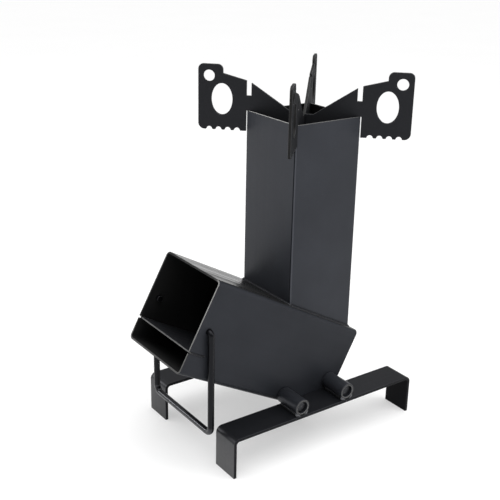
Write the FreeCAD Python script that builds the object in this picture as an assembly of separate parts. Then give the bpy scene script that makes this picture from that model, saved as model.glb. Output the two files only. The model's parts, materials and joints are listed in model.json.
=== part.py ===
"""Rocket stove: a tilted square feed tube with an upright square chimney, two push-on leg bars,
a swinging bail handle, a slide-in fuel shelf and two crossed pot supports.

Frame: millimetres, +Z up. The origin is on the ground, in the middle of the stove's footprint.
The fuel mouth faces -X, the stove's left side is +Y and its right side is -Y.
"""
import FreeCAD, Part
import math
import os
from FreeCAD import Placement, Rotation, Vector

# ---------------------------------------------------------------- driving dimensions
TILT = 28.8                 # slope of the feed tube below the horizontal, degrees

FEED_SIDE = 120.0           # outer side of the square feed tube
FEED_WALL = 2.5
FEED_CORNER = 6.0           # outer corner radius
FEED_LENGTH = 251.6
MOUTH_CENTRE_X = -142.1
MOUTH_CENTRE_Z = 190.5

CHIMNEY_SIDE = 101.6        # outer side of the square chimney tube (4 inch tube)
CHIMNEY_WALL = 2.5
CHIMNEY_CORNER = 3.0
CHIMNEY_X = 47.2            # chimney's centre line
RIM_Z = 411.0

REAR_PLATE_THICK = 3.0
REAR_PLATE_RECESS = 2.5     # the plate sits this far inside the tube's low end
BEAD = 2.2                  # leg length of the rear plate's weld
CHIMNEY_BEAD = 3.0          # leg length of the chimney's weld

PIN_X = (-15.5, 58.2)       # front and rear pins
PIN_DIAMETER = 16.0
PIN_SPIGOT_DIAMETER = 10.0  # thinner end that passes through the tube's wall
PIN_END_Y = 95.5
PIN_CHAMFER = 1.5
PLUG_WELD_HEIGHT = 1.6

SOCKET_OUTER = 21.3         # half-inch pipe
SOCKET_BORE = 16.1
SOCKET_EDGE_BREAK = 0.5
SOCKET_SETBACK = 1.5        # the socket's outer end stops this far inside the bar's edge
SOCKET_BEAD = 8.5           # reach of the weld on the bar, from the socket's centre line
SOCKET_BEAD_START = 3.0
SOCKET_BEAD_SETBACK = 0.8   # the weld stops this far inside the bar's edges

BAR_INNER_Y = 61.0
BAR_WIDTH = 40.0
BAR_THICK = 4.0
BAR_TOP_Z = 53.6
BAR_FRONT_X = -119.5
BAR_REAR_X = 171.0
BAR_BEND = 8.0              # outer radius of the bends
BAR_EDGE_BREAK = 0.6

BAIL_ROD = 8.0
BAIL_X = -129.5
BAIL_PIVOT_Z = 183.0
BAIL_CROSSBAR_Z = 47.8
BAIL_LEG_Y = 65.0
BAIL_ELBOW = 5.0            # centre-line radius where a leg turns into the wall
BAIL_CORNER = 9.0           # centre-line radius at the crossbar's ends
BAIL_END_Y = 53.0
BAIL_HOLE_CLEARANCE = 0.05  # radial

SHELF_THICK = 2.0
SHELF_TOP_DEPTH = 89.9      # below the feed tube's outer top face
SHELF_FRONT = 3.0           # set back from the mouth
SHELF_REAR = 160.0
SHELF_SIDE_GAP = 0.4
SHELF_EAR_Y = 60.5
SHELF_FOOT_WIDTH = 18.0
SHELF_FOOT_Y = 38.0
SHELF_BEND = 3.5            # outer radius where the feet fold down
SHELF_EDGE_BREAK = 0.4
SLOT_TOP_DEPTH = 89.6
SLOT_HEIGHT = 2.4
SLOT_LENGTH = 24.0
SLIDE_GAP = 0.1             # clearance under sliding and stopped faces

SUPPORT_THICK = 3.4
SUPPORT_HALF = 133.0        # centre to the end of an arm
SUPPORT_BELOW_RIM = 26.0
SUPPORT_ABOVE_RIM = 56.0
SUPPORT_SLOT_IN = 65.6      # slots that straddle the chimney's corners
SUPPORT_SLOT_OUT = 71.6
SUPPORT_NOTCH_Z = 18.8      # bottom of the notch over each slot
SUPPORT_NOTCH_IN_Z = 34.9
SUPPORT_NOTCH_OUT_Z = 37.4
SUPPORT_BUMP_U = 101.5      # inner side of the raised pot rest
SUPPORT_BUMP_Z = 45.1
SUPPORT_VALLEY = 12.6       # half width of the flat at the middle, level with the rim
SCALLOP_FIRST_U = 83.2      # centre of the innermost scallop in an arm's lower edge
SCALLOP_PITCH = 11.85
SCALLOP_COUNT = 4
SCALLOP_RADIUS = 3.8
TOOTH_RADIUS = 1.2          # rounding of the teeth between the scallops
ARM_BOTTOM_RADIUS = 8.0
ARM_TOP_RADIUS = 6.5
BUMP_RADIUS = 7.0
ARM_HOLE_RADIUS = 7.1
ARM_HOLE_U = 119.2
ARM_HOLE_Z = 41.6
ARM_ELLIPSE_U = 102.8
ARM_ELLIPSE_Z = 13.0
ARM_ELLIPSE_WIDTH = 26.8
ARM_ELLIPSE_HEIGHT = 39.4
LAP_WIDTH = 3.6
LAP_HEIGHT = -13.0          # where the two crossed plates meet, from the rim
LAP_GAP = 0.1

OVERRUN = 1.0               # how far a cutting tool runs past the face that it cuts
TINY = 1e-6

# ---------------------------------------------------------------- worked out
FEED_HALF = FEED_SIDE / 2
FEED_INNER = FEED_SIDE - 2 * FEED_WALL
CHIMNEY_INNER = CHIMNEY_SIDE - 2 * CHIMNEY_WALL
WALL_INNER_Y = FEED_HALF - FEED_WALL
SOCKET_Z = BAR_TOP_Z + SOCKET_OUTER / 2
BAR_OUTER_Y = BAR_INNER_Y + BAR_WIDTH
SIDES = (("left", 1), ("right", -1))
FEED_FRAME = Placement(Vector(MOUTH_CENTRE_X, 0, MOUTH_CENTRE_Z), Rotation(Vector(0, 1, 0), TILT))


# ---------------------------------------------------------------- helpers
def block(x0, x1, y0, y1, z0, z1):
    """Box between two corners."""
    return Part.makeBox(x1 - x0, y1 - y0, z1 - z0, Vector(x0, y0, z0))


def parallel_edges(shape, direction):
    """Straight edges of a shape that run along a direction."""
    found = []
    for edge in shape.Edges:
        run = edge.Vertexes[-1].Point - edge.Vertexes[0].Point
        if run.Length > 0 and abs(run.normalize().dot(direction)) > 0.999:
            found.append(edge)
    return found


def rounded_prism(side, radius, x0, x1):
    """Square bar along X, centred on the X axis, with rounded long edges."""
    half = side / 2
    bar = block(x0, x1, -half, half, -half, half)
    return bar.makeFillet(radius, parallel_edges(bar, Vector(1, 0, 0)))


def upright_prism(side, radius, z0, z1):
    """Square bar along Z at the chimney's centre line, with rounded long edges."""
    half = side / 2
    bar = block(CHIMNEY_X - half, CHIMNEY_X + half, -half, half, z0, z1)
    return bar.makeFillet(radius, parallel_edges(bar, Vector(0, 0, 1)))


def in_feed_frame(shape):
    """Move a shape from the feed tube's own frame (X down the tube, Z out of its top) to the stove's."""
    moved = shape.copy()
    moved.Placement = FEED_FRAME
    return moved


def cylinder_y(radius, x, z, y0, y1):
    """Cylinder along Y."""
    low, high = min(y0, y1), max(y0, y1)
    return Part.makeCylinder(radius, high - low, Vector(x, low, z), Vector(0, 1, 0))


def outline_face(edges):
    """Plane face inside a closed run of edges."""
    return Part.Face(Part.Wire(Part.__sortEdges__(edges)))


def arc(start, middle, end):
    """Circular edge through three points."""
    return Part.Arc(start, middle, end).toShape()


def line(start, end):
    return Part.makeLine(start, end)


def export(shape, name):
    """Write one piece, after a check that it is sound."""
    if not shape.isValid():
        raise ValueError(name + " is not a valid solid")
    shape.exportStep("parts/" + name + ".step")
    print("%-22s %9.1f mm3  %d solid(s)" % (name, shape.Volume, len(shape.Solids)))


# ---------------------------------------------------------------- welded body
def feed_top_slab(low, high):
    """Slab parallel to the feed tube's top face, between two heights over that face."""
    slab = block(-FEED_SIDE, FEED_LENGTH + FEED_SIDE, -FEED_SIDE, FEED_SIDE, FEED_HALF + low, FEED_HALF + high)
    return in_feed_frame(slab)


def feed_tube():
    outer = rounded_prism(FEED_SIDE, FEED_CORNER, 0, FEED_LENGTH)
    inner = rounded_prism(FEED_INNER, FEED_CORNER - FEED_WALL, -OVERRUN, FEED_LENGTH + OVERRUN)
    tube = outer.cut(inner)
    slot_top = FEED_HALF - SLOT_TOP_DEPTH
    slots = block(-OVERRUN, SLOT_LENGTH, -FEED_SIDE, FEED_SIDE, slot_top - SLOT_HEIGHT, slot_top)
    tube = in_feed_frame(tube.cut(slots))
    flue = upright_prism(CHIMNEY_INNER, CHIMNEY_CORNER - CHIMNEY_WALL, 0, RIM_Z)
    tube = tube.cut(flue.common(feed_top_slab(-FEED_WALL - OVERRUN, OVERRUN)))
    hinge_radius = BAIL_ROD / 2 + BAIL_HOLE_CLEARANCE
    tube = tube.cut(cylinder_y(hinge_radius, BAIL_X, BAIL_PIVOT_Z, -FEED_SIDE, FEED_SIDE))
    for pin_x in PIN_X:
        tube = tube.cut(cylinder_y(PIN_SPIGOT_DIAMETER / 2, pin_x, SOCKET_Z, -FEED_SIDE, FEED_SIDE))
    return tube


def rear_plate():
    front = FEED_LENGTH - REAR_PLATE_RECESS - REAR_PLATE_THICK
    return in_feed_frame(rounded_prism(FEED_INNER, FEED_CORNER - FEED_WALL, front, front + REAR_PLATE_THICK))


def rear_plate_weld():
    """Fillet bead in the corner between the recessed plate and the tube's inner faces."""
    start = FEED_LENGTH - REAR_PLATE_RECESS
    inner_radius = FEED_CORNER - FEED_WALL
    ring = rounded_prism(FEED_INNER, inner_radius, start, start + BEAD)
    wide = rounded_section(FEED_INNER, inner_radius, start + BEAD)
    narrow = rounded_section(FEED_INNER - 2 * BEAD, inner_radius - BEAD / 2, start)
    throat = Part.makeLoft([narrow, wide], True, True)
    return in_feed_frame(ring.cut(throat))


def rounded_section(side, radius, x):
    """Rounded square wire across the X axis at one station."""
    bar = rounded_prism(side, radius, x, x + OVERRUN)
    for face in bar.Faces:
        if abs(face.CenterOfMass.x - x) < TINY:
            return face.OuterWire
    raise ValueError("no end face")


def chimney():
    outer = upright_prism(CHIMNEY_SIDE, CHIMNEY_CORNER, 0, RIM_Z)
    inner = upright_prism(CHIMNEY_INNER, CHIMNEY_CORNER - CHIMNEY_WALL, -OVERRUN, RIM_Z + OVERRUN)
    return outer.cut(inner).cut(feed_top_slab(-RIM_Z, 0))


def slanted_section(side, radius, height):
    """Wire where an upright rounded square bar meets the plane at a height over the feed tube's top."""
    bar = upright_prism(side, radius, 0, RIM_Z).cut(feed_top_slab(-RIM_Z, height))
    normal = FEED_FRAME.Rotation.multVec(Vector(0, 0, -1))
    for face in bar.Faces:
        if face.normalAt(0, 0).dot(normal) > 0.999:
            return face.OuterWire
    raise ValueError("no slanted face")


def chimney_weld():
    """Fillet bead round the chimney's foot, on the feed tube's top face."""
    foot = slanted_section(CHIMNEY_SIDE + 2 * CHIMNEY_BEAD, CHIMNEY_CORNER + CHIMNEY_BEAD, 0)
    top = slanted_section(CHIMNEY_SIDE, CHIMNEY_CORNER, CHIMNEY_BEAD)
    mound = Part.makeLoft([foot, top], True, True)
    return mound.cut(upright_prism(CHIMNEY_SIDE, CHIMNEY_CORNER, 0, RIM_Z))


def pin(side, pin_x):
    """Stub pin: its shoulder stands on the wall and its spigot passes through the wall."""
    shank = cylinder_y(PIN_DIAMETER / 2, pin_x, SOCKET_Z, side * FEED_HALF, side * PIN_END_Y)
    free_end = [e for e in shank.Edges if e.Closed and abs(abs(e.CenterOfMass.y) - PIN_END_Y) < TINY]
    shank = shank.makeChamfer(PIN_CHAMFER, free_end)
    spigot = cylinder_y(PIN_SPIGOT_DIAMETER / 2, pin_x, SOCKET_Z, side * WALL_INNER_Y, side * FEED_HALF)
    return shank.fuse(spigot).removeSplitter()


def pin_welds():
    """Low domes that seal the spigots to the inside of the walls."""
    radius = PIN_SPIGOT_DIAMETER / 2
    ball = (radius ** 2 + PLUG_WELD_HEIGHT ** 2) / (2 * PLUG_WELD_HEIGHT)
    domes = []
    for _, side in SIDES:
        for pin_x in PIN_X:
            centre_y = side * (WALL_INNER_Y + ball - PLUG_WELD_HEIGHT)
            sphere = Part.makeSphere(ball, Vector(pin_x, centre_y, SOCKET_Z))
            domes.append(sphere.common(cylinder_y(radius, pin_x, SOCKET_Z, 0, side * WALL_INNER_Y)))
    return Part.makeCompound([dome.Solids[0] for dome in domes])


# ---------------------------------------------------------------- leg bars
def leg_bar(side):
    """Flat bar along X with both ends bent down to the ground."""
    inner_bend = BAR_BEND - BAR_THICK
    diagonal = math.sqrt(0.5)
    under_z = BAR_TOP_Z - BAR_THICK
    edges = []
    ends = ((BAR_FRONT_X, 1), (BAR_REAR_X, -1))
    for end_x, inward in ends:
        centre = Vector(end_x + inward * BAR_BEND, 0, BAR_TOP_Z - BAR_BEND)
        inner_x = end_x + inward * BAR_THICK
        for radius, face_x, top_z in ((BAR_BEND, end_x, BAR_TOP_Z), (inner_bend, inner_x, under_z)):
            middle = centre + Vector(-inward * radius * diagonal, 0, radius * diagonal)
            edges.append(arc(Vector(face_x, 0, centre.z), middle, Vector(centre.x, 0, top_z)))
            edges.append(line(Vector(face_x, 0, 0), Vector(face_x, 0, centre.z)))
        edges.append(line(Vector(end_x, 0, 0), Vector(inner_x, 0, 0)))
    for top_z in (BAR_TOP_Z, under_z):
        edges.append(line(Vector(BAR_FRONT_X + BAR_BEND, 0, top_z), Vector(BAR_REAR_X - BAR_BEND, 0, top_z)))
    start_y = BAR_INNER_Y if side > 0 else -BAR_OUTER_Y
    bar = outline_face(edges).extrude(Vector(0, BAR_WIDTH, 0))
    bar.translate(Vector(0, start_y, 0))
    side_edges = []
    for face in bar.Faces:
        if abs(abs(face.normalAt(0, 0).y) - 1) < TINY:
            side_edges.extend(edge for edge in face.Edges if edge.CenterOfMass.z > TINY)
    return bar.makeFillet(BAR_EDGE_BREAK, side_edges)


def socket(side, pin_x):
    """Short pipe on top of the bar that slides over a pin."""
    ends = side * BAR_INNER_Y, side * (BAR_OUTER_Y - SOCKET_SETBACK)
    pipe = cylinder_y(SOCKET_OUTER / 2, pin_x, SOCKET_Z, *ends)
    pipe = pipe.makeFillet(SOCKET_EDGE_BREAK, [edge for edge in pipe.Edges if edge.Closed])
    past_ends = side * (BAR_INNER_Y - OVERRUN), side * (BAR_OUTER_Y + OVERRUN)
    return pipe.cut(cylinder_y(SOCKET_BORE / 2, pin_x, SOCKET_Z, *past_ends))


def socket_welds(side):
    """Beads that fill the wedges between the two sockets and the bar."""
    radius = SOCKET_OUTER / 2
    crest = Vector(radius * math.sqrt(0.5), 0, radius * (1 - math.sqrt(0.5)))
    start_y = side * (BAR_INNER_Y + SOCKET_BEAD_SETBACK)
    length = side * (BAR_WIDTH - 2 * SOCKET_BEAD_SETBACK)
    beads = []
    for pin_x in PIN_X:
        pipe = cylinder_y(radius, pin_x, SOCKET_Z, side * BAR_INNER_Y, side * BAR_OUTER_Y)
        for way in (1, -1):
            corners = [(SOCKET_BEAD_START, 0), (SOCKET_BEAD, 0), (crest.x, crest.z), (SOCKET_BEAD_START, crest.z)]
            points = [Vector(pin_x + way * u, start_y, BAR_TOP_Z + z) for u, z in corners]
            wedge = Part.Face(Part.makePolygon(points + points[:1])).extrude(Vector(0, length, 0))
            beads.append(wedge.cut(pipe).Solids[0])
    return Part.makeCompound(beads)


# ---------------------------------------------------------------- bail handle
def bail_handle():
    """U of round rod whose two ends turn inwards through the side walls."""
    diagonal = math.sqrt(0.5)
    edges = []
    for side in (1, -1):
        leg_y = side * BAIL_LEG_Y
        elbow_y = side * (BAIL_LEG_Y - BAIL_ELBOW)
        elbow_z = BAIL_PIVOT_Z - BAIL_ELBOW
        corner_y = side * (BAIL_LEG_Y - BAIL_CORNER)
        corner_z = BAIL_CROSSBAR_Z + BAIL_CORNER
        elbow_middle = Vector(BAIL_X, elbow_y + side * BAIL_ELBOW * diagonal, elbow_z + BAIL_ELBOW * diagonal)
        corner_middle = Vector(BAIL_X, corner_y + side * BAIL_CORNER * diagonal, corner_z - BAIL_CORNER * diagonal)
        edges.append(line(Vector(BAIL_X, side * BAIL_END_Y, BAIL_PIVOT_Z), Vector(BAIL_X, elbow_y, BAIL_PIVOT_Z)))
        edges.append(arc(Vector(BAIL_X, elbow_y, BAIL_PIVOT_Z), elbow_middle, Vector(BAIL_X, leg_y, elbow_z)))
        edges.append(line(Vector(BAIL_X, leg_y, elbow_z), Vector(BAIL_X, leg_y, corner_z)))
        edges.append(arc(Vector(BAIL_X, leg_y, corner_z), corner_middle, Vector(BAIL_X, corner_y, BAIL_CROSSBAR_Z)))
    inner_y = BAIL_LEG_Y - BAIL_CORNER
    edges.append(line(Vector(BAIL_X, inner_y, BAIL_CROSSBAR_Z), Vector(BAIL_X, -inner_y, BAIL_CROSSBAR_Z)))
    path = Part.Wire(Part.__sortEdges__(edges))
    first = path.OrderedVertexes[0].Point
    section = Part.Wire(Part.makeCircle(BAIL_ROD / 2, first, Vector(0, 1, 0)))
    return path.makePipeShell([section], True, True)


# ---------------------------------------------------------------- fuel shelf
def fuel_shelf():
    """Plate with an ear in each slot and two feet folded down at its rear, in one piece."""
    top = FEED_HALF - SHELF_TOP_DEPTH
    under = top - SHELF_THICK
    half_width = FEED_INNER / 2 - SHELF_SIDE_GAP
    ear_end = SLOT_LENGTH - SLIDE_GAP
    plate = block(SHELF_FRONT, SHELF_REAR - SHELF_BEND, -half_width, half_width, under, top)
    ears = block(SHELF_FRONT, ear_end, -SHELF_EAR_Y, SHELF_EAR_Y, under, top)
    shelf = plate.fuse(ears)
    for side in (1, -1):
        low_y = side * SHELF_FOOT_Y - SHELF_FOOT_WIDTH / 2
        shelf = shelf.fuse(shelf_foot(top, low_y))
    shelf = shelf.removeSplitter()
    front_edges = [edge for edge in shelf.Edges
                   if abs(edge.CenterOfMass.x - SHELF_FRONT) < TINY and edge.Length > FEED_SIDE / 2]
    return in_feed_frame(shelf.makeFillet(SHELF_EDGE_BREAK, front_edges))


def shelf_foot(top, low_y):
    """Strip that bends down from the plate's rear edge and stands on the tube's floor."""
    floor = -FEED_INNER / 2 + SLIDE_GAP
    bend_x = SHELF_REAR - SHELF_BEND
    centre_z = top - SHELF_BEND
    diagonal = math.sqrt(0.5)
    inner_bend = SHELF_BEND - SHELF_THICK
    inner_x = SHELF_REAR - SHELF_THICK
    under = top - SHELF_THICK
    outer_middle = Vector(bend_x + SHELF_BEND * diagonal, low_y, centre_z + SHELF_BEND * diagonal)
    inner_middle = Vector(bend_x + inner_bend * diagonal, low_y, centre_z + inner_bend * diagonal)
    edges = [
        line(Vector(bend_x, low_y, under), Vector(bend_x, low_y, top)),
        arc(Vector(bend_x, low_y, top), outer_middle, Vector(SHELF_REAR, low_y, centre_z)),
        line(Vector(SHELF_REAR, low_y, centre_z), Vector(SHELF_REAR, low_y, floor)),
        line(Vector(SHELF_REAR, low_y, floor), Vector(inner_x, low_y, floor)),
        line(Vector(inner_x, low_y, floor), Vector(inner_x, low_y, centre_z)),
        arc(Vector(inner_x, low_y, centre_z), inner_middle, Vector(bend_x, low_y, under)),
    ]
    return outline_face(edges).extrude(Vector(0, SHELF_FOOT_WIDTH, 0))


# ---------------------------------------------------------------- pot supports
def arm_outline():
    """Edges of one arm, from the plate's middle out: u is along X, height over the rim is along Z."""
    bottom = -SUPPORT_BELOW_RIM
    edges = []
    pen = [Vector(0, 0, bottom)]

    def to(u, z):
        edges.append(line(pen[0], Vector(u, 0, z)))
        pen[0] = Vector(u, 0, z)

    def curve(middle_u, middle_z, u, z):
        edges.append(arc(pen[0], Vector(middle_u, 0, middle_z), Vector(u, 0, z)))
        pen[0] = Vector(u, 0, z)

    def corner(centre_u, centre_z, radius, middle_angle, u, z):
        turn = math.radians(middle_angle)
        curve(centre_u + radius * math.cos(turn), centre_z + radius * math.sin(turn), u, z)

    def scallop(middle_u):
        """Half-round valley in the lower edge, between two rounded shoulders."""
        reach = SCALLOP_RADIUS + TOOTH_RADIUS
        shoulder = math.sqrt(reach ** 2 - TOOTH_RADIUS ** 2)
        share = SCALLOP_RADIUS / reach
        tangent_z = bottom + share * TOOTH_RADIUS
        half_turn = (math.asin(shoulder / reach)) / 2
        lean_u = TOOTH_RADIUS * math.sin(half_turn)
        lean_z = bottom + TOOTH_RADIUS * (1 - math.cos(half_turn))
        to(middle_u - shoulder, bottom)
        curve(middle_u - shoulder + lean_u, lean_z, middle_u - share * shoulder, tangent_z)
        curve(middle_u, bottom + SCALLOP_RADIUS, middle_u + share * shoulder, tangent_z)
        curve(middle_u + shoulder - lean_u, lean_z, middle_u + shoulder, bottom)

    to(SUPPORT_SLOT_IN, bottom)
    to(SUPPORT_SLOT_IN, 0)
    to(SUPPORT_SLOT_OUT, 0)
    to(SUPPORT_SLOT_OUT, bottom)
    for index in range(SCALLOP_COUNT):
        scallop(SCALLOP_FIRST_U + index * SCALLOP_PITCH)
    to(SUPPORT_HALF - ARM_BOTTOM_RADIUS, bottom)
    corner(SUPPORT_HALF - ARM_BOTTOM_RADIUS, bottom + ARM_BOTTOM_RADIUS, ARM_BOTTOM_RADIUS, -45,
           SUPPORT_HALF, bottom + ARM_BOTTOM_RADIUS)
    to(SUPPORT_HALF, SUPPORT_ABOVE_RIM - ARM_TOP_RADIUS)
    corner(SUPPORT_HALF - ARM_TOP_RADIUS, SUPPORT_ABOVE_RIM - ARM_TOP_RADIUS, ARM_TOP_RADIUS, 45,
           SUPPORT_HALF - ARM_TOP_RADIUS, SUPPORT_ABOVE_RIM)
    to(SUPPORT_BUMP_U + BUMP_RADIUS, SUPPORT_ABOVE_RIM)
    corner(SUPPORT_BUMP_U + BUMP_RADIUS, SUPPORT_ABOVE_RIM - BUMP_RADIUS, BUMP_RADIUS, 135,
           SUPPORT_BUMP_U, SUPPORT_ABOVE_RIM - BUMP_RADIUS)
    to(SUPPORT_BUMP_U, SUPPORT_BUMP_Z)
    to(SUPPORT_SLOT_OUT, SUPPORT_NOTCH_OUT_Z)
    to(SUPPORT_SLOT_OUT, SUPPORT_NOTCH_Z)
    to(SUPPORT_SLOT_IN, SUPPORT_NOTCH_Z)
    to(SUPPORT_SLOT_IN, SUPPORT_NOTCH_IN_Z)
    to(SUPPORT_VALLEY, 0)
    to(0, 0)
    return edges


def pot_support(lap_low, lap_high, heading):
    """Crossed plate with two like arms, a lap slot at its middle, and standing on the chimney's rim."""
    right = arm_outline()
    left = [edge.mirror(Vector(0, 0, 0), Vector(1, 0, 0)) for edge in right]
    plate = outline_face(right + left).extrude(Vector(0, SUPPORT_THICK, 0))
    plate.translate(Vector(0, -SUPPORT_THICK / 2, 0))
    for side in (1, -1):
        hole_u = side * ARM_HOLE_U
        plate = plate.cut(cylinder_y(ARM_HOLE_RADIUS, hole_u, ARM_HOLE_Z, -SUPPORT_THICK, SUPPORT_THICK))
        plate = plate.cut(ellipse_prism(side * ARM_ELLIPSE_U))
    plate = plate.cut(block(-LAP_WIDTH / 2, LAP_WIDTH / 2, -SUPPORT_THICK, SUPPORT_THICK, lap_low, lap_high))
    plate.Placement = Placement(Vector(CHIMNEY_X, 0, RIM_Z), Rotation(Vector(0, 0, 1), heading))
    return plate


def ellipse_prism(u):
    """Upright ellipse hole through a pot support."""
    tall = Vector(u, -SUPPORT_THICK, ARM_ELLIPSE_Z + ARM_ELLIPSE_HEIGHT / 2)
    wide = Vector(u + ARM_ELLIPSE_WIDTH / 2, -SUPPORT_THICK, ARM_ELLIPSE_Z)
    centre = Vector(u, -SUPPORT_THICK, ARM_ELLIPSE_Z)
    ring = Part.Wire(Part.Ellipse(tall, wide, centre).toShape())
    return Part.Face(ring).extrude(Vector(0, 2 * SUPPORT_THICK, 0))


# ---------------------------------------------------------------- build
os.makedirs("parts", exist_ok=True)

export(feed_tube(), "feed_tube")
export(rear_plate(), "rear_plate")
export(rear_plate_weld(), "rear_plate_weld")
export(chimney(), "chimney")
export(chimney_weld(), "chimney_weld")
export(pin_welds(), "pin_welds")
for side_name, side_sign in SIDES:
    for end_name, end_x in zip(("front", "rear"), PIN_X):
        export(pin(side_sign, end_x), "%s_%s_pin" % (side_name, end_name))
        export(socket(side_sign, end_x), "%s_%s_socket" % (side_name, end_name))
    export(leg_bar(side_sign), side_name + "_leg_bar")
    export(socket_welds(side_sign), side_name + "_socket_welds")
export(bail_handle(), "bail_handle")
export(fuel_shelf(), "fuel_shelf")
export(pot_support(LAP_HEIGHT - LAP_GAP, SUPPORT_BELOW_RIM, -45), "pot_support_lower")
export(pot_support(-2 * SUPPORT_BELOW_RIM, LAP_HEIGHT + LAP_GAP, 45), "pot_support_upper")
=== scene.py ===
"""Looks of the rocket stove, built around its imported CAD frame.

Lengths are in metres. The stove stands on z = 0, its fuel mouth faces -X and its chimney rises along +Z.
"""
import json
import math

import bmesh
import bpy
from mathutils import Matrix, Vector, noise


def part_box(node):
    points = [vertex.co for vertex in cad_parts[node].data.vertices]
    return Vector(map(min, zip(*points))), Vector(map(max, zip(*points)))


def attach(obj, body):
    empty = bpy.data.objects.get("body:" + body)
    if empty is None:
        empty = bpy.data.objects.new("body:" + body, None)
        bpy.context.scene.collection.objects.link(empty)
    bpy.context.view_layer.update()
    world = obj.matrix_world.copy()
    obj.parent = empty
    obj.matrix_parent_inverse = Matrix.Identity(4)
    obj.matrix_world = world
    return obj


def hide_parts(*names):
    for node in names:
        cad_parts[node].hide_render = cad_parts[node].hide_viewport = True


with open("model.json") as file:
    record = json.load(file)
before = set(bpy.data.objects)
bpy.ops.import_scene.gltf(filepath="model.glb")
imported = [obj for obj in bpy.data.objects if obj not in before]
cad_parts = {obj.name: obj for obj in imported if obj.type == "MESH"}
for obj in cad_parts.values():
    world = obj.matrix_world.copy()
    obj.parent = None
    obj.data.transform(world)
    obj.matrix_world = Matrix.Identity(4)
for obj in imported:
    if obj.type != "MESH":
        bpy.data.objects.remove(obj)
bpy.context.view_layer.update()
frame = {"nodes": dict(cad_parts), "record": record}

MM = 0.001

# ---------------------------------------------------------------- what the CAD says
TILT = math.radians(28.8)                  # slope of the feed tube
FEED_WALL = 2.5 * MM
FEED_CORNER = 6.0 * MM
CHIMNEY_WALL = 2.5 * MM
CHIMNEY_CORNER = 3.0 * MM
REAR_PLATE_RECESS = 2.5 * MM
LOWER_HEADING = math.radians(-45)          # the ways that the crossed pot supports run
UPPER_HEADING = math.radians(45)
BODY_OF = {node: body for body, nodes in frame["record"]["behaviour"]["bodies"].items() for node in nodes}
SLOT_OF = {row["node"]: row["material_slot"] for row in frame["record"]["subparts"]}

down_tube = Vector((math.cos(TILT), 0, -math.sin(TILT)))
out_of_top = Vector((math.sin(TILT), 0, math.cos(TILT)))
across = Vector((0, 1, 0))
tube_low, tube_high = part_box("feed_tube")
feed_half = (tube_high.y - tube_low.y) / 2
mouth_centre = Vector((tube_low.x + feed_half * out_of_top.x, 0, tube_high.z - feed_half * out_of_top.z))
feed_length = (tube_high.x - mouth_centre.x - feed_half * out_of_top.x) / down_tube.x
chimney_low, chimney_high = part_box("chimney")
chimney_half = (chimney_high.y - chimney_low.y) / 2
chimney_x = (chimney_low.x + chimney_high.x) / 2


def in_tube(point):
    """A point in the feed tube's own frame: x down the tube, z out of its top."""
    offset = Vector(point) - mouth_centre
    return Vector((offset.dot(down_tube), offset.y, offset.dot(out_of_top)))


def from_tube(x, y, z):
    """The point that in_tube gives as x, y, z."""
    return mouth_centre + down_tube * x + across * y + out_of_top * z


# ---------------------------------------------------------------- camera
# From the front right, a little above: the near leg bar runs away to the right.
CAMERA_TARGET = Vector((0.4, 32.1, 242.4)) * MM
CAMERA_DISTANCE = 1.1694
CAMERA_AZIMUTH = math.radians(-36.0)
CAMERA_ELEVATION = math.radians(20.02)
CAMERA_ROLL = math.radians(1.28)
CAMERA_LENS = 64.7
CAMERA_SHIFT = (-0.0095, -0.0185)


def make_camera():
    """Camera that looks along +Y when its azimuth is 0."""
    level, rise = math.cos(CAMERA_ELEVATION), math.sin(CAMERA_ELEVATION)
    back = Vector((math.sin(CAMERA_AZIMUTH) * level, -math.cos(CAMERA_AZIMUTH) * level, rise))
    level_right = (-back).cross(Vector((0, 0, 1))).normalized()
    level_up = level_right.cross(-back)
    turn, lean = math.cos(CAMERA_ROLL), math.sin(CAMERA_ROLL)
    right = level_right * turn + level_up * lean
    up = level_up * turn - level_right * lean
    data = bpy.data.cameras.new("photo_camera")
    data.lens = CAMERA_LENS
    data.sensor_width = 36
    data.shift_x, data.shift_y = CAMERA_SHIFT
    camera = bpy.data.objects.new("photo_camera", data)
    bpy.context.scene.collection.objects.link(camera)
    turned = Matrix((right, up, back)).transposed().to_4x4()
    camera.matrix_world = Matrix.Translation(CAMERA_TARGET + back * CAMERA_DISTANCE) @ turned
    bpy.context.scene.camera = camera


# ---------------------------------------------------------------- shader helpers
def shader(tree, kind, inputs=None, **settings):
    """Adds a shader node. An input is a value, or a socket to link."""
    node = tree.nodes.new("ShaderNode" + kind)
    for key, value in settings.items():
        setattr(node, key, value)
    for key, value in (inputs or {}).items():
        if isinstance(value, bpy.types.NodeSocket):
            tree.links.new(value, node.inputs[key])
        else:
            node.inputs[key].default_value = value
    return node


def new_material(name):
    material = bpy.data.materials.new(name)
    material.use_nodes = True
    material.node_tree.nodes.clear()
    return material


def grey(value, warmth=0.0):
    """A nearly neutral colour; positive warmth leans to red, negative to blue."""
    return (value * (1 + 0.4 * warmth), value, value * (1 - warmth), 1)


def cloud(tree, place, scale, detail=2.0, rough=0.5):
    """Soft noise; scale is in patches per metre."""
    inputs = {"Vector": place, "Scale": scale, "Detail": detail, "Roughness": rough}
    return shader(tree, "TexNoise", inputs).outputs[0]


def remap(tree, value, low, high, to_low, to_high, smooth=False):
    """The value, with low to high spread over to_low to to_high and clamped there."""
    kind = "SMOOTHSTEP" if smooth else "LINEAR"
    inputs = {0: value, 1: low, 2: high, 3: to_low, 4: to_high}
    return shader(tree, "MapRange", inputs, interpolation_type=kind).outputs[0]


def mixed(tree, factor, first, second):
    return shader(tree, "Mix", {0: factor, 6: first, 7: second}, data_type="RGBA").outputs[2]


def arithmetic(tree, operation, first, second):
    return shader(tree, "Math", {0: first, 1: second}, operation=operation).outputs[0]


def bumped(tree, height, distance, strength, normal=None):
    inputs = {"Height": height, "Distance": distance, "Strength": strength}
    if normal:
        inputs["Normal"] = normal
    return shader(tree, "Bump", inputs).outputs[0]


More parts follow.
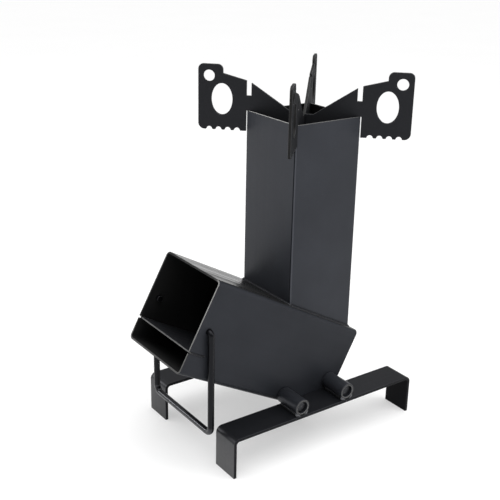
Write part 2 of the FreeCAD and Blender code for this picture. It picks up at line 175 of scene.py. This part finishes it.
def turned_place(tree, place, turn, stretch):
    """Coordinates turned and then stretched, for marks that run one way."""
    turned = shader(tree, "Mapping", {"Vector": place, "Rotation": turn}).outputs[0]
    return shader(tree, "Mapping", {"Vector": turned, "Scale": stretch}).outputs[0]


def finish_material(material, inputs):
    tree = material.node_tree
    surface = shader(tree, "BsdfPrincipled", inputs)
    output = shader(tree, "OutputMaterial")
    tree.links.new(surface.outputs[0], output.inputs[0])
    return material


# ---------------------------------------------------------------- materials
ALONG_TUBE = (0, -TILT, 0)    # turns that lay an X axis along a surface's marks
ALONG_BAR = (0, 0, 0)
UPRIGHT = (0, math.radians(90), 0)
MOTTLING_SCALE = 14.0
GRAIN_SCALE = 380.0
PEEL_SCALE = 1150.0
SPECK_SCALE = 900.0
CHIP_SCALE = 520.0
WEAR_SCALE = 160.0
PEEL_DEPTH = 0.05 * MM
STREAK_DEPTH = 0.06 * MM
SAW_MARK_DEPTH = 0.05 * MM
CRUMB_DEPTH = 0.12 * MM
FINE_STREAKS = (2.5, 210, 210)    # streaks per metre on the turned X, Y and Z axes
TOP_STREAKS = (2.5, 150, 150)
SAW_MARKS = (60, 60, 900)         # marks per metre on the turned X, Y and Z axes
LASER_MARKS = (800, 40, 800)
FLOOR_LIGHT_TOP = 110 * MM               # height up a foot to which the painted light from the floor reaches
SOOT_SHADE = 0.004
CHIP_COLOUR = grey(0.16, 0.03)
COOL_SHEEN = (0.90, 0.91, 1.0, 1)
TOP_SHEEN = (1.0, 0.98, 1.0, 1)


def paint(name, shade, roughness, specular=0.4, warmth=-0.20, peel=0.35, streaks=0.0, flecks=0.0,
          turn=ALONG_TUBE, tint=COOL_SHEEN, streak_scale=FINE_STREAKS, floor_light=0.0):
    """High-temperature paint on steel, with orange peel, faint blotches, rolling streaks, chips down to the
    steel (flecks) and painted light from the floor, paler towards the ground."""
    material = new_material(name)
    tree = material.node_tree
    place = shader(tree, "TexCoord").outputs["Object"]
    blotches = cloud(tree, place, MOTTLING_SCALE, 4.0)
    grain = cloud(tree, place, GRAIN_SCALE, 3.0)
    darker, paler = grey(shade * 0.85, warmth), grey(shade * 1.2, warmth)
    colour = mixed(tree, remap(tree, blotches, 0.3, 0.7, 0, 1), darker, paler)
    specks = remap(tree, cloud(tree, place, SPECK_SCALE, 1.0), 0.74, 0.8, 0, 0.5, True)
    colour = mixed(tree, specks, colour, grey(shade * 3))
    gloss = remap(tree, blotches, 0.25, 0.75, roughness - 0.05, roughness + 0.05)
    gloss = arithmetic(tree, "ADD", gloss, remap(tree, grain, 0.3, 0.7, -0.03, 0.03))
    normal = bumped(tree, cloud(tree, place, PEEL_SCALE, 2.0), PEEL_DEPTH, peel)
    if streaks:
        lines = cloud(tree, turned_place(tree, place, turn, streak_scale), 1.0, 5.0, 0.65)
        spread = 0.10 * streaks
        gloss = arithmetic(tree, "ADD", gloss, remap(tree, lines, 0.35, 0.65, -spread, spread))
        normal = bumped(tree, lines, STREAK_DEPTH, streaks, normal)
    if flecks:
        chips = remap(tree, cloud(tree, place, CHIP_SCALE, 4.0, 0.7), 0.60, 0.68, 0, flecks, True)
        colour = mixed(tree, chips, colour, CHIP_COLOUR)
    if floor_light:
        height = shader(tree, "SeparateXYZ", {0: place}).outputs["Z"]
        low = remap(tree, height, 0.0, FLOOR_LIGHT_TOP, 1.0, 0.0, True)
        floor_light_mask = arithmetic(tree, "MULTIPLY", low, remap(tree, grain, 0.3, 0.7, 0.6, 1.0))
        colour = mixed(tree, floor_light_mask, colour, grey(floor_light, 0.01))
    inputs = {"Base Color": colour, "Roughness": gloss, "Normal": normal,
              "Specular IOR Level": specular, "Specular Tint": tint}
    return finish_material(material, inputs)


def soot(name):
    """Dull black coat on the insides, with patches of grey ash and a grainy surface."""
    material = new_material(name)
    tree = material.node_tree
    place = shader(tree, "TexCoord").outputs["Object"]
    patches = cloud(tree, place, 26.0, 5.0, 0.6)
    crumbs = cloud(tree, place, 700.0, 3.0, 0.6)
    ash = remap(tree, patches, 0.55, 0.8, 0, 0.5, True)
    colour = mixed(tree, ash, grey(SOOT_SHADE, -0.05), grey(SOOT_SHADE * 3.5, 0.02))
    gloss = remap(tree, patches, 0.3, 0.7, 0.72, 0.9)
    normal = bumped(tree, crumbs, CRUMB_DEPTH, 0.5)
    inputs = {"Base Color": colour, "Roughness": gloss, "Specular IOR Level": 0.25, "Normal": normal}
    return finish_material(material, inputs)


def fuel_rub_and_highlight(tree, place):
    """The right and lower parts of the mouth's rim, worn where sticks go in. The right part also holds a
    painted highlight, which fades downwards.
    """
    lip, above_lip, halfway = 145 * MM, 157 * MM, 185 * MM
    axes = shader(tree, "SeparateXYZ", {0: place}).outputs
    ragged = remap(tree, cloud(tree, place, 45.0, 3.0), 0.3, 0.7, -4 * MM, 4 * MM)
    sideways = arithmetic(tree, "ADD", axes["Y"], ragged)
    right = remap(tree, sideways, 3 * MM - feed_half, 15 * MM - feed_half, 1.0, 0.0, True)
    fade = remap(tree, axes["Z"], lip, halfway, 0.6, 1.0, True)
    lower = remap(tree, axes["Z"], lip, above_lip, 0.55, 0.0, True)
    return arithmetic(tree, "MAXIMUM", arithmetic(tree, "MULTIPLY", right, fade), lower)


def rim_highlight_zone(tree, place):
    """The front part of the chimney's rim, where its painted highlight is brightest."""
    front = shader(tree, "SeparateXYZ", {0: place}).outputs["X"]
    return remap(tree, front, chimney_low.x + 2 * MM, chimney_low.x + 8 * MM, 1.0, 0.15, True)


def cut_edge(name, shade, turn, stretch, wear_shade, specular=0.5, gloss_low=0.34, zone=None, worn_and_lit_shade=0.3,
             metal=0.0):
    """Painted saw-cut or laser-cut face: a thinner coat over fine parallel marks, wear_shade times as pale
    where it is worn. In its zone it turns paler: worn metal, and a painted highlight, on the rims."""
    material = new_material(name)
    tree = material.node_tree
    place = shader(tree, "TexCoord").outputs["Object"]
    marks = cloud(tree, turned_place(tree, place, turn, stretch), 1.0, 3.0)
    wear = remap(tree, cloud(tree, place, WEAR_SCALE, 4.0), 0.45, 0.7, 0, 1, True)
    colour = mixed(tree, wear, grey(shade), grey(shade * wear_shade, 0.03))
    gloss = remap(tree, marks, 0.3, 0.7, gloss_low, gloss_low + 0.12)
    normal = bumped(tree, marks, SAW_MARK_DEPTH, 0.5)
    inputs = {"Base Color": colour, "Roughness": gloss, "Specular IOR Level": specular, "Normal": normal}
    if zone:
        worn_and_lit = zone(tree, place)
        inputs["Base Color"] = mixed(tree, worn_and_lit, colour, grey(worn_and_lit_shade, 0.02))
        if metal:
            inputs["Metallic"] = arithmetic(tree, "MULTIPLY", worn_and_lit, metal)
    return finish_material(material, inputs)


tube_paint = paint("tube_paint", 0.0205, 0.42, specular=0.15, streaks=0.5)
tube_top_paint = paint("tube_top_paint", 0.0110, 0.36, specular=0.45, warmth=0.0, streaks=1.7,
                       tint=TOP_SHEEN, streak_scale=TOP_STREAKS)
chimney_paint = paint("chimney_paint", 0.0266, 0.42, specular=0.18, streaks=0.35, turn=UPRIGHT)
# Painted highlight down the chimney's rounded corners, and a strip of painted shade beside it
corner_highlight_paint = paint("corner_highlight_paint", 0.0420, 0.34, specular=0.42, flecks=0.15)
corner_shade_paint = paint("corner_shade_paint", 0.0070, 0.50, specular=0.05)
bar_paint = paint("bar_paint", 0.0054, 0.40, specular=0.34, streaks=0.25, turn=ALONG_BAR)
# The feet's fronts: paler than the bar and paler towards the ground, painted light from the floor, more on
# the right foot
right_foot_lit_paint = paint("right_foot_lit_paint", 0.0100, 0.40, streaks=0.25, turn=UPRIGHT, floor_light=0.065)
left_foot_lit_paint = paint("left_foot_lit_paint", 0.0080, 0.40, streaks=0.25, turn=UPRIGHT, floor_light=0.020)
# Darker paints for the bars' side faces and for the faces over the hollow: painted shade
bar_side_shade_paint = paint("bar_side_shade_paint", 0.0040, 0.55, specular=0.15, streaks=0.3, turn=ALONG_BAR)
bar_under_shade_paint = paint("bar_under_shade_paint", 0.0030, 0.60, specular=0.08)
pipe_paint = paint("pipe_paint", 0.0180, 0.36, specular=0.40)
# Its pale flecks are chips and painted glints on the pins' ends
pin_paint = paint("pin_paint", 0.0060, 0.36, specular=0.4, peel=0.6, flecks=0.9)
rod_paint = paint("rod_paint", 0.0028, 0.22, specular=0.18, peel=0.1)
grip_paint = paint("grip_paint", 0.0030, 0.20, specular=0.50, peel=0.1)
plate_paint = paint("plate_paint", 0.0100, 0.62, specular=0.26, warmth=-0.12, peel=0.5)
upper_plate_paint = paint("upper_plate_paint", 0.0090, 0.72, specular=0.10, warmth=-0.12, peel=0.5)
shelf_paint = paint("shelf_paint", 0.0070, 0.55, specular=0.3, streaks=0.5, flecks=0.25)
weld_paint = paint("weld_paint", 0.0070, 0.40, specular=0.3, peel=0.3)
socket_weld_paint = paint("socket_weld_paint", 0.0100, 0.36, warmth=-0.05, peel=0.3, flecks=0.2)
# Pale starts of the socket beads: spatter and a painted highlight
spatter_and_highlight_paint = paint("spatter_and_highlight_paint", 0.0450, 0.30, specular=0.9, warmth=-0.05, peel=0.6, flecks=0.9)
worn_edge = paint("worn_edge", 0.0170, 0.33, specular=0.5, warmth=0.0, peel=0.2, flecks=0.35)
# Darker than the tube's paint: painted shade along the feed tube's rounded edges
shaded_tube_edge = paint("shaded_tube_edge", 0.0080, 0.42, specular=0.25, warmth=0.0, peel=0.2, flecks=0.35)
# Pale paint on the rounded edges of the bars and sockets: a painted highlight, with chips of wear
bar_edge_highlight = paint("bar_edge_highlight", 0.1500, 0.33, specular=0.6, warmth=0.0, peel=0.2, flecks=0.35)
inner_soot = soot("inner_soot")
sawn_edge = cut_edge("sawn_edge", 0.009, ALONG_TUBE, SAW_MARKS, wear_shade=3.5, gloss_low=0.30)
# The chimney's rim is pale all round, a painted highlight, and paler still at its front
highlit_rim_edge = cut_edge("highlit_rim_edge", 0.080, ALONG_TUBE, SAW_MARKS, wear_shade=2.0, gloss_low=0.30,
                    zone=rim_highlight_zone, worn_and_lit_shade=0.42)
# The mouth's rim: a very dark coat, painted shade, with worn metal and a painted highlight in its zone
mouth_edge = cut_edge("mouth_edge", 0.003, ALONG_TUBE, SAW_MARKS, wear_shade=1.8, specular=0.06,
                      gloss_low=0.32, zone=fuel_rub_and_highlight, worn_and_lit_shade=0.14, metal=0.5)
# The shelf's pale cut front edge: a painted highlight along it
highlit_shelf_edge = cut_edge("highlit_shelf_edge", 0.040, ALONG_TUBE, SAW_MARKS, wear_shade=2.0, specular=0.4,
                      gloss_low=0.36)
laser_edge_lower = cut_edge("laser_edge_lower", 0.0045, (0, 0, -LOWER_HEADING), LASER_MARKS, wear_shade=1.5,
                            specular=0.12)
laser_edge_upper = cut_edge("laser_edge_upper", 0.0100, (0, 0, -UPPER_HEADING), LASER_MARKS, wear_shade=1.5,
                            specular=0.15)


# ---------------------------------------------------------------- CAD shapes with rounded edges
WELD_DISTANCE = 0.002 * MM  # points closer than this are one
FLAT_ANGLE = math.radians(0.4)
SHARP_ANGLE = math.radians(38)
EDGE_SEGMENTS = 2


def add_piece(name, mesh, replaced, materials):
    """Puts a new mesh into the scene: it stands for a CAD node and rides on that node's body."""
    body, slot = BODY_OF[replaced], SLOT_OF[replaced]
    piece = bpy.data.objects.new(name, mesh)
    bpy.context.scene.collection.objects.link(piece)
    for material in materials:
        mesh.materials.append(material)
    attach(piece, body)
    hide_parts(replaced)
    return piece


def dressed(node, bevel, materials, sort=None):
    """Stands for a CAD node with its own shape: flat faces are made whole and sharp edges rounded. The
    materials are in the order of the face kinds below, and sort(points, normal) gives a face its kind."""
    shape = bmesh.new()
    shape.from_mesh(frame["nodes"][node].data)
    bmesh.ops.remove_doubles(shape, verts=shape.verts, dist=WELD_DISTANCE)
    bmesh.ops.dissolve_limit(shape, angle_limit=FLAT_ANGLE, verts=shape.verts, edges=shape.edges)
    shape.verts.index_update()
    points = [vertex.co.copy() for vertex in shape.verts]
    faces = [[vertex.index for vertex in face.verts] for face in shape.faces]
    shape.free()
    mesh = bpy.data.meshes.new(node + "_finish")
    mesh.from_pydata(points, [], faces)
    mesh.shade_smooth()
    mesh.set_sharp_from_angle(angle=SHARP_ANGLE)
    piece = add_piece(node + "_finish", mesh, node, materials)
    if sort:
        for face in mesh.polygons:
            face.material_index = sort([points[index] for index in face.vertices], face.normal)
    edge = piece.modifiers.new("edge", "BEVEL")
    edge.width = bevel
    edge.segments = EDGE_SEGMENTS
    edge.limit_method = "ANGLE"
    edge.angle_limit = SHARP_ANGLE
    edge.use_clamp_overlap = False
    edge.harden_normals = True
    edge.material = EDGES


FACES, EDGES, INSIDE, CUT, TOP, CORNER_SHADE = range(6)    # kinds of face, in the order of a piece's materials
HAIR = 0.05 * MM                           # slack for telling an inner face from an outer one
BAR_HOLLOW = Vector((25, 0, 10)) * MM      # a point in the space under the leg bars
GRIP_TOP = 62 * MM                         # top of the bail's crossbar and elbows


def sort_feed_tube(points, normal):
    """Inner walls are sooty; the mouth's rim is a sawn face."""
    inner = feed_half - FEED_WALL + HAIR
    local = [in_tube(point) for point in points]
    if all(abs(point.y) < inner and abs(point.z) < inner for point in local):
        return INSIDE
    if normal.dot(out_of_top) > 0.9:
        return TOP
    return CUT if abs(normal.dot(down_tube)) > 0.99 else FACES


def sort_chimney(points, normal):
    """The rounded corners are TOP, a painted highlight, with a duller strip of painted shade next to the
    front and rear faces.
    """
    inner = chimney_half - CHIMNEY_WALL + HAIR
    if all(abs(point.x - chimney_x) < inner and abs(point.y) < inner for point in points):
        return INSIDE
    if normal.z > 0.99:
        return CUT
    if max(abs(normal.x), abs(normal.y), abs(normal.z)) > 0.97:
        return FACES
    return CORNER_SHADE if abs(normal.y) < 0.62 else TOP


def sort_shelf(points, normal):
    return CUT if abs(normal.dot(down_tube)) > 0.9 else FACES


def sort_plate(heading):
    """The outline's faces are laser-cut; the broad faces are painted plate."""
    broad = Vector((-math.sin(heading), math.cos(heading), 0))

    def sort(points, normal):
        return FACES if abs(normal.dot(broad)) > 0.7 else CUT
    return sort


def sort_bail(points, normal):
    """The crossbar, polished by hands, is CUT."""
    return CUT if max(point.z for point in points) < GRIP_TOP else FACES


def sort_socket(points, normal):
    return CUT if abs(normal.y) > 0.99 else FACES


def sort_bar(points, normal):
    """The bar's edges are CUT and darker, painted shade; the underside and the feet's backs, which face the
    hollow, are INSIDE, darker still as painted shade; the feet's fronts are TOP, paler as painted light."""
    if abs(normal.y) > 0.9:
        return CUT
    centre = sum(points, Vector()) / len(points)
    if normal.dot(centre - BAR_HOLLOW) < 0:
        return INSIDE
    return TOP if abs(normal.x) > 0.97 else FACES


def dress_body():
    tube_set = [tube_paint, shaded_tube_edge, inner_soot, mouth_edge, tube_top_paint]
    dressed("feed_tube", 0.3 * MM, tube_set, sort_feed_tube)
    chimney_set = [chimney_paint, worn_edge, inner_soot, highlit_rim_edge, corner_highlight_paint, corner_shade_paint]
    dressed("chimney", 0.4 * MM, chimney_set, sort_chimney)
    dressed("rear_plate", 0.4 * MM, [tube_paint, worn_edge])


def dress_loose_pieces():
    dressed("fuel_shelf", 0.25 * MM, [shelf_paint, worn_edge, shelf_paint, highlit_shelf_edge], sort_shelf)
    dressed("bail_handle", 0.4 * MM, [rod_paint, worn_edge, rod_paint, grip_paint], sort_bail)
    lower_set = [plate_paint, worn_edge, plate_paint, laser_edge_lower]
    dressed("pot_support_lower", 0.3 * MM, lower_set, sort_plate(LOWER_HEADING))
    upper_set = [upper_plate_paint, worn_edge, upper_plate_paint, laser_edge_upper]
    dressed("pot_support_upper", 0.3 * MM, upper_set, sort_plate(UPPER_HEADING))


def dress_leg(side, foot_paint):
    bar_set = [bar_paint, bar_edge_highlight, bar_under_shade_paint, bar_side_shade_paint, foot_paint]
    dressed(side + "_leg_bar", 0.5 * MM, bar_set, sort_bar)
    socket_set = [pipe_paint, bar_edge_highlight, pipe_paint, sawn_edge]
    for end in ("_front", "_rear"):
        dressed(side + end + "_pin", 0.3 * MM, [pin_paint, worn_edge])
        dressed(side + end + "_socket", 0.4 * MM, socket_set, sort_socket)


# ---------------------------------------------------------------- weld beads
RIPPLE = 2.3 * MM           # length of one ripple
RIPPLE_HEIGHT = 0.13        # share of the bead's size
RIPPLE_SHARPNESS = 0.7
RIPPLE_MIDDLE = 0.6
CRESCENT = 0.9 * MM         # how far a ripple's ends run behind its middle
WOBBLE = 0.10               # share by which the size wanders
WOBBLE_LENGTH = 7 * MM
STATION = 0.38 * MM         # distance between a bead's sections
ARC_POINTS = 8
BURIED = 0.12 * MM          # how far a bead's feet reach under the surfaces
BULGE = 1.45                # exponent of a section's curve: 2 is a flat face, 1 a round one
BEAD_SHARP_ANGLE = math.radians(60)


def bead_mesh(name, runs, seed):
    """Rippled fillet beads. A run is (stations, closed); a station is (root, along one surface, along the
    other, size), where the two vectors are as long as the bead's legs."""
    points, faces = [], []
    for number, (stations, closed) in enumerate(runs):
        first = len(points)
        travelled = 0.0
        for index, (root, leg_a, leg_b, size) in enumerate(stations):
            if index:
                travelled += (root - stations[index - 1][0]).length
            size *= 1 + WOBBLE * noise.noise(Vector((travelled / WOBBLE_LENGTH, seed, number)))
            inward = (leg_a.normalized() + leg_b.normalized()).normalized()
            for step in range(ARC_POINTS):
                share = step / (ARC_POINTS - 1)
                angle = share * math.pi / 2
                crescent = CRESCENT * (2 * share - 1) ** 2
                wave = abs(math.sin(math.pi * (travelled + crescent) / RIPPLE))
                reach = size * (1 + RIPPLE_HEIGHT * (wave ** RIPPLE_SHARPNESS - RIPPLE_MIDDLE))
                offset = leg_a * math.cos(angle) ** BULGE + leg_b * math.sin(angle) ** BULGE
                points.append(root + offset * reach - inward * BURIED)
            points.append(root - inward * 3 * BURIED)
        ring = ARC_POINTS + 1
        count = len(stations)
        for index in range(count if closed else count - 1):
            here = first + index * ring
            there = first + (index + 1) % count * ring
            for step in range(ring):
                after = (step + 1) % ring
                faces.append((here + step, here + after, there + after, there + step))
        if not closed:
            last = first + (count - 1) * ring
            faces.append([first + step for step in reversed(range(ring))])
            faces.append([last + step for step in range(ring)])
    mesh = bpy.data.meshes.new(name)
    mesh.from_pydata(points, [], faces)
    outward = bmesh.new()
    outward.from_mesh(mesh)
    bmesh.ops.recalc_face_normals(outward, faces=outward.faces)
    outward.to_mesh(mesh)
    outward.free()
    mesh.shade_smooth()
    mesh.set_sharp_from_angle(angle=BEAD_SHARP_ANGLE)
    return mesh


def rounded_square(half, radius):
    """Points and outward directions round a square with rounded corners, about one station apart."""
    ring = []
    straight = 2 * (half - radius)
    side_steps = round(straight / STATION)
    corner_steps = max(4, round(radius * math.pi / 2 / STATION))
    for quarter in range(4):
        turn = Matrix.Rotation(quarter * math.pi / 2, 2)
        for step in range(side_steps):
            along = -straight / 2 + straight * step / side_steps
            ring.append((turn @ Vector((half, along)), turn @ Vector((1, 0))))
        centre = Vector((half - radius, half - radius))
        for step in range(corner_steps):
            angle = math.pi / 2 * step / corner_steps
            outward = Vector((math.cos(angle), math.sin(angle)))
            ring.append((turn @ (centre + outward * radius), turn @ outward))
    return ring


def on_tube_top(x, y):
    """Point of the feed tube's top face over a point of the plan."""
    edge = from_tube(0, 0, feed_half)
    return Vector((x, y, edge.z - (x - edge.x) * math.tan(TILT)))


CHIMNEY_BEAD_LEG = 3.0 * MM
REAR_PLATE_BEAD_LEG = 2.2 * MM


def weld_chimney():
    """Bead round the chimney's foot."""
    stations = []
    for point, outward in rounded_square(chimney_half, CHIMNEY_CORNER):
        root = on_tube_top(chimney_x + point.x, point.y)
        away = Vector((outward.x, outward.y, 0))
        away = (away - out_of_top * away.dot(out_of_top)).normalized()
        stations.append((root, away * CHIMNEY_BEAD_LEG, Vector((0, 0, CHIMNEY_BEAD_LEG)), 1.0))
    mesh = bead_mesh("chimney_weld_bead", [(stations, True)], 1.0)
    add_piece("chimney_weld_bead", mesh, "chimney_weld", [weld_paint])


def weld_rear_plate():
    """Bead in the corner between the recessed rear plate and the tube's inner faces."""
    leg = REAR_PLATE_BEAD_LEG
    plate_x = feed_length - REAR_PLATE_RECESS
    stations = []
    for point, outward in rounded_square(feed_half - FEED_WALL, FEED_CORNER - FEED_WALL):
        root = from_tube(plate_x, point.x, point.y)
        inward = -(across * outward.x + out_of_top * outward.y)
        stations.append((root, inward * leg, down_tube * leg, 0.95))
    mesh = bead_mesh("rear_plate_weld_bead", [(stations, True)], 5.0)
    add_piece("rear_plate_weld_bead", mesh, "rear_plate_weld", [weld_paint])


SOCKET_BEAD_ROOT = 3.2 * MM        # from the socket's middle, as are the next two
SOCKET_BEAD_FOOT = 8.2 * MM
SOCKET_BEAD_TOP = 7.2 * MM
SOCKET_BEAD_RISE = 0.36            # share of the socket's radius
SOCKET_BEAD_INSET = 1.0 * MM       # from the socket's inner end
SOCKET_BEAD_SHORTER = 0.3 * MM     # than the socket
INNER_TAPER, OUTER_TAPER = 12, 22  # the bead thins out over a 12th and a 22nd of its length
THINNEST = 0.02
FAT_START = 0.45                   # extra size at the outer end
FAT_START_PART = 9                 # which a 9th of the bead has
WELD_START_Y = 97.5 * MM           # outside this, the fat start of a socket's bead, with spatter and a painted highlight


def socket_bead(side, end, way):
    """Stations of the bead in front of a socket (way -1) or behind it (way 1), from its inner end out."""
    low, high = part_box(side + end + "_socket")
    bar_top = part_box(side + "_leg_bar")[1].z
    radius = (high.z - low.z) / 2
    centre_x = (low.x + high.x) / 2
    inner_y, outer_y = (low.y, high.y) if side == "left" else (high.y, low.y)
    length = abs(outer_y - inner_y) - SOCKET_BEAD_SHORTER
    way_y = math.copysign(1, outer_y)
    along_bar = Vector((way * (SOCKET_BEAD_FOOT - SOCKET_BEAD_ROOT), 0, 0))
    up_pipe = Vector((way * (SOCKET_BEAD_TOP - SOCKET_BEAD_ROOT), 0, radius * SOCKET_BEAD_RISE))
    steps = round(length / STATION)
    stations = []
    for step in range(steps + 1):
        share = step / steps
        taper = min(1.0, share * INNER_TAPER, (1 - share) * OUTER_TAPER)
        swell = 1 + FAT_START * max(0.0, 1 - (1 - share) * FAT_START_PART)
        y = inner_y + way_y * (SOCKET_BEAD_INSET + length * share)
        root = Vector((centre_x + way * SOCKET_BEAD_ROOT, y, bar_top))
        stations.append((root, along_bar, up_pipe, math.sqrt(max(taper, THINNEST)) * swell))
    return stations


def weld_sockets(side, seed):
    """Two beads along each of a bar's sockets."""
    runs = [(socket_bead(side, end, way), False) for end in ("_front", "_rear") for way in (1, -1)]
    mesh = bead_mesh(side + "_socket_weld_beads", runs, seed)
    paints = [socket_weld_paint, spatter_and_highlight_paint]
    add_piece(side + "_socket_weld_beads", mesh, side + "_socket_welds", paints)
    for face in mesh.polygons:
        face.material_index = int(abs(face.center.y) > WELD_START_Y)


PLUG_RADIUS = 5.2 * MM
PLUG_HEIGHT = 1.6 * MM
PLUG_RIPPLE = 0.40 * MM            # a quarter of this is the ripple's height halfway out
PLUG_SPIRAL = 20                   # radians that the ripple winds from rim to middle
PLUG_RINGS, PLUG_SPOKES = 14, 48


def plug_dome(side, end):
    """Points of the domed weld over a pin's inner end, ring by ring from its middle."""
    low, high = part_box(side + end + "_pin")
    way = 1 if side == "left" else -1
    wall_y = way * min(abs(low.y), abs(high.y))
    centre = (low + high) / 2
    points = []
    for ring in range(PLUG_RINGS + 1):
        share = ring / PLUG_RINGS
        for spoke in range(PLUG_SPOKES):
            angle = 2 * math.pi * spoke / PLUG_SPOKES
            ripple = PLUG_RIPPLE * math.sin(share * PLUG_SPIRAL + angle) * share * (1 - share)
            rise = PLUG_HEIGHT * math.sqrt(max(0.0, 1 - share ** 2)) + ripple - BURIED
            x = centre.x + PLUG_RADIUS * share * math.cos(angle)
            z = centre.z + PLUG_RADIUS * share * math.sin(angle)
            points.append(Vector((x, wall_y - way * rise, z)))
    return points


def weld_pins():
    """Spiral-rippled plug welds over the pins' inner ends."""
    points, faces = [], []
    for side in ("left", "right"):
        for end in ("_front", "_rear"):
            first = len(points)
            points += plug_dome(side, end)
            for ring in range(PLUG_RINGS):
                for spoke in range(PLUG_SPOKES):
                    a = first + ring * PLUG_SPOKES + spoke
                    b = first + ring * PLUG_SPOKES + (spoke + 1) % PLUG_SPOKES
                    faces.append((a, b, b + PLUG_SPOKES, a + PLUG_SPOKES))
            rim = first + PLUG_RINGS * PLUG_SPOKES
            faces.append([rim + spoke for spoke in range(PLUG_SPOKES)])
    mesh = bpy.data.meshes.new("pin_weld_domes")
    mesh.from_pydata(points, [], faces)
    shape = bmesh.new()
    shape.from_mesh(mesh)
    bmesh.ops.remove_doubles(shape, verts=shape.verts, dist=WELD_DISTANCE)
    bmesh.ops.recalc_face_normals(shape, faces=shape.faces)
    shape.to_mesh(mesh)
    shape.free()
    mesh.shade_smooth()
    add_piece("pin_weld_domes", mesh, "pin_welds", [weld_paint])


# ---------------------------------------------------------------- studio
FLOOR_HALF = 30.0
FLOOR_GLOW = 0.475          # light from under the floor's translucent paper, which softens the shadow
SKY_STRENGTH = 2.1
SKY_MIDDLE = ((0.17, 0.10), (0.30, 0.05), (0.5, 0.10), (0.7, 0.40))    # height on the sky, brightness


def make_floor():
    mesh = bpy.data.meshes.new("studio_floor")
    corners = [(-FLOOR_HALF, -FLOOR_HALF, 0), (FLOOR_HALF, -FLOOR_HALF, 0), (FLOOR_HALF, FLOOR_HALF, 0),
               (-FLOOR_HALF, FLOOR_HALF, 0)]
    mesh.from_pydata(corners, [], [(0, 1, 2, 3)])
    material = new_material("floor_paper")
    tree = material.node_tree
    place = shader(tree, "TexCoord").outputs["Object"]
    colour = mixed(tree, cloud(tree, place, 3.0, 2.0), grey(0.49), grey(0.51))
    finish_material(material, {"Base Color": colour, "Roughness": 0.9, "Specular IOR Level": 0.1,
                               "Emission Color": grey(1.0), "Emission Strength": FLOOR_GLOW})
    mesh.materials.append(material)
    floor = bpy.data.objects.new("studio_floor", mesh)
    bpy.context.scene.collection.objects.link(floor)


def make_world():
    """Bright overhead and along the horizon, dim between; the camera itself sees an even pale backdrop."""
    world = bpy.data.worlds.new("studio")
    world.use_nodes = True
    tree = world.node_tree
    tree.nodes.clear()
    direction = shader(tree, "TexCoord").outputs["Generated"]
    height = shader(tree, "SeparateXYZ", {0: direction}).outputs["Z"]
    ramp = shader(tree, "ValToRGB", {0: height})
    stops = ramp.color_ramp.elements
    stops[0].position, stops[0].color = 0.08, grey(0.42)
    stops[1].position, stops[1].color = 0.95, grey(1.0)
    for position, value in SKY_MIDDLE:
        stop = stops.new(position)
        stop.color = grey(value)
    sky = shader(tree, "Background", {"Color": ramp.outputs[0], "Strength": SKY_STRENGTH})
    backdrop = shader(tree, "Background", {"Color": grey(1.0), "Strength": 1.0})
    seen = shader(tree, "LightPath").outputs["Is Camera Ray"]
    both = shader(tree, "MixShader", {0: seen, 1: sky.outputs[0], 2: backdrop.outputs[0]})
    output = shader(tree, "OutputWorld")
    tree.links.new(both.outputs[0], output.inputs[0])
    bpy.context.scene.world = world


def area_light(name, place, aim, size, watts):
    data = bpy.data.lights.new(name, "AREA")
    data.shape = "RECTANGLE"
    data.size, data.size_y = size
    data.energy = watts
    lamp = bpy.data.objects.new(name, data)
    bpy.context.scene.collection.objects.link(lamp)
    lamp.location = place
    lamp.rotation_euler = (Vector(aim) - Vector(place)).to_track_quat("-Z", "Y").to_euler()
    lamp.visible_camera = False


def make_studio():
    make_floor()
    make_world()
    middle = (0.0, 0.0, 0.2)
    area_light("overhead_softbox", (-0.1, -0.5, 2.0), middle, (2.0, 2.0), 17)
    area_light("key_softbox", (1.25, -1.4, 1.2), middle, (1.0, 1.3), 12)
    area_light("rim_strip", (-1.2, 1.5, 0.71), middle, (0.8, 0.3), 8)
    bpy.context.scene.view_settings.view_transform = "Standard"


# ---------------------------------------------------------------- scene
make_camera()
dress_body()
dress_loose_pieces()
dress_leg("left", left_foot_lit_paint)
dress_leg("right", right_foot_lit_paint)
weld_chimney()
weld_rear_plate()
weld_sockets("left", 9.0)
weld_sockets("right", 14.0)
weld_pins()
make_studio()

bpy.context.view_layer.update()
